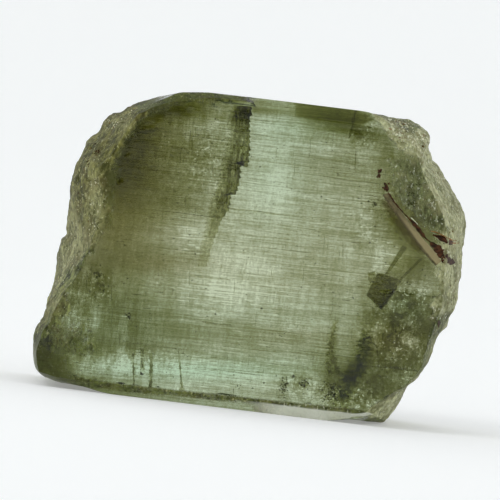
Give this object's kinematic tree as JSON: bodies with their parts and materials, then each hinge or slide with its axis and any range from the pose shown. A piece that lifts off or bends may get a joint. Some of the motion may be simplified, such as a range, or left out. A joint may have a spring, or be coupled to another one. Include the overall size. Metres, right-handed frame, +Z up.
{
  "type": "tourmaline crystal",
  "caption": "Rough section of a green tourmaline crystal: a striated prism with narrow bevelled long sides and two uneven broken ends, resting on a narrow prism face.",
  "frame": {"origin": "middle of the crystal's bounding box in plan, on the surface it rests on", "axes": "+X along the crystal's long axis, -Y out of the broad striated prism face, +Z up from the narrow prism face it rests on"},
  "size_m": [0.0094, 0.0044, 0.0069],
  "materials": {
    "tourmaline": "see-through green, finely striated prism faces, frosted broken ends"
  },
  "bodies": {
    "root": {"tourmaline_crystal": "tourmaline"}
  },
  "joints": []
}
